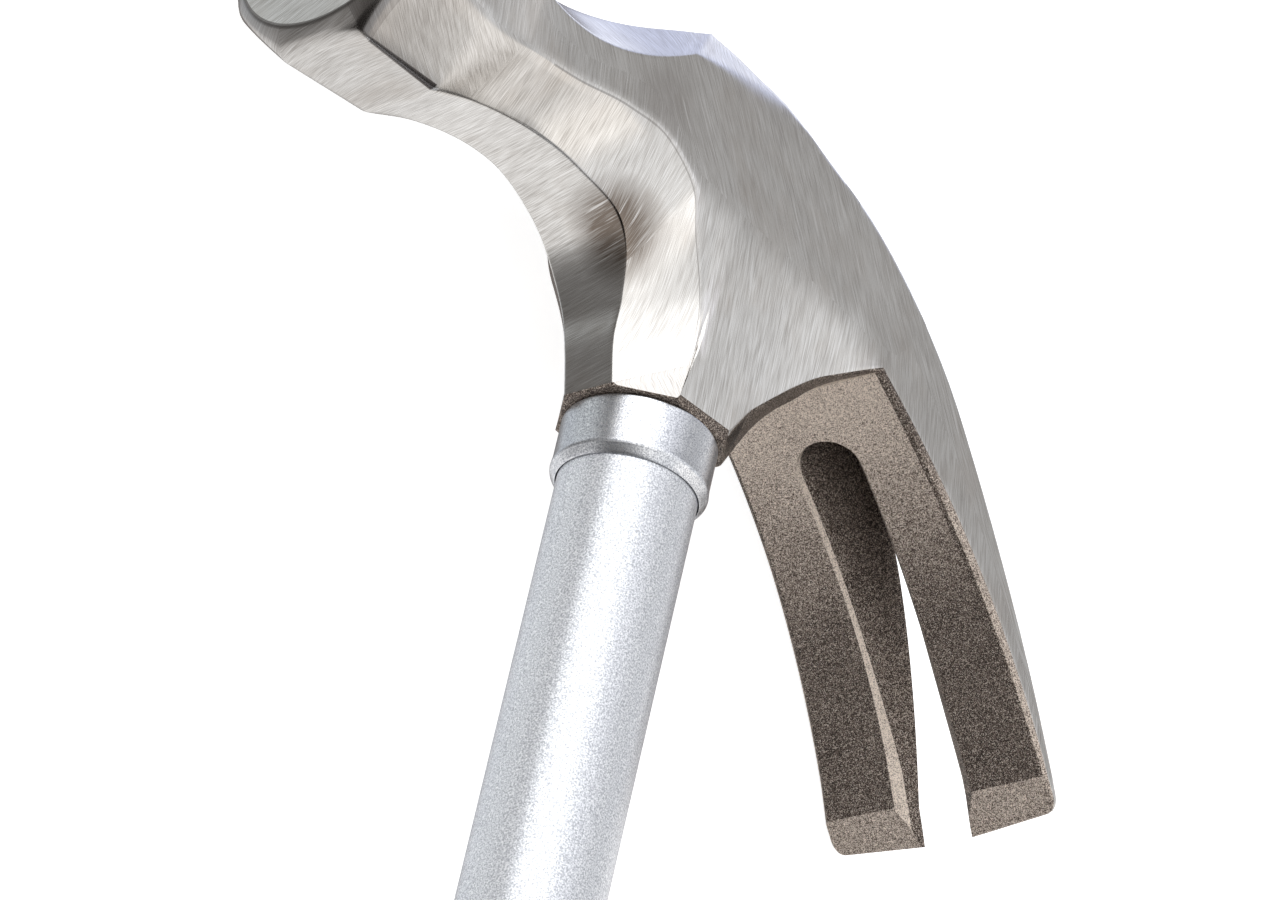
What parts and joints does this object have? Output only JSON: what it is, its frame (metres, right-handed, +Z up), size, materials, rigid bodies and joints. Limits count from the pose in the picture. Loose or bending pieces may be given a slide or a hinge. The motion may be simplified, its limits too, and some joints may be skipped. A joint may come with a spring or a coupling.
{
  "type": "claw hammer",
  "caption": "Curved claw hammer: forged steel head with a round striking face and a split nail claw, on a tubular steel handle with a collar and a rubber grip.",
  "frame": {"origin": "centre of the underside of the box round the hammer, which lies on its side", "axes": "+X along the handle from the butt to the head, +Y from the claw to the striking face, +Z up"},
  "size_m": [0.3454, 0.1466, 0.0368],
  "materials": {
    "forged_steel": "ground and polished, as forged under the claw",
    "silver_paint": "satin metallic",
    "resin": "cast",
    "bare_steel": "turned",
    "black_rubber": "matt",
    "moulded_plastic": "moulded"
  },
  "bodies": {
    "root": {"head": "forged_steel", "handle_tube": "silver_paint", "collar": "silver_paint", "bond_sleeve": "resin", "eye_plug": "bare_steel", "grip": "black_rubber", "butt_plug": "moulded_plastic"}
  },
  "joints": []
}
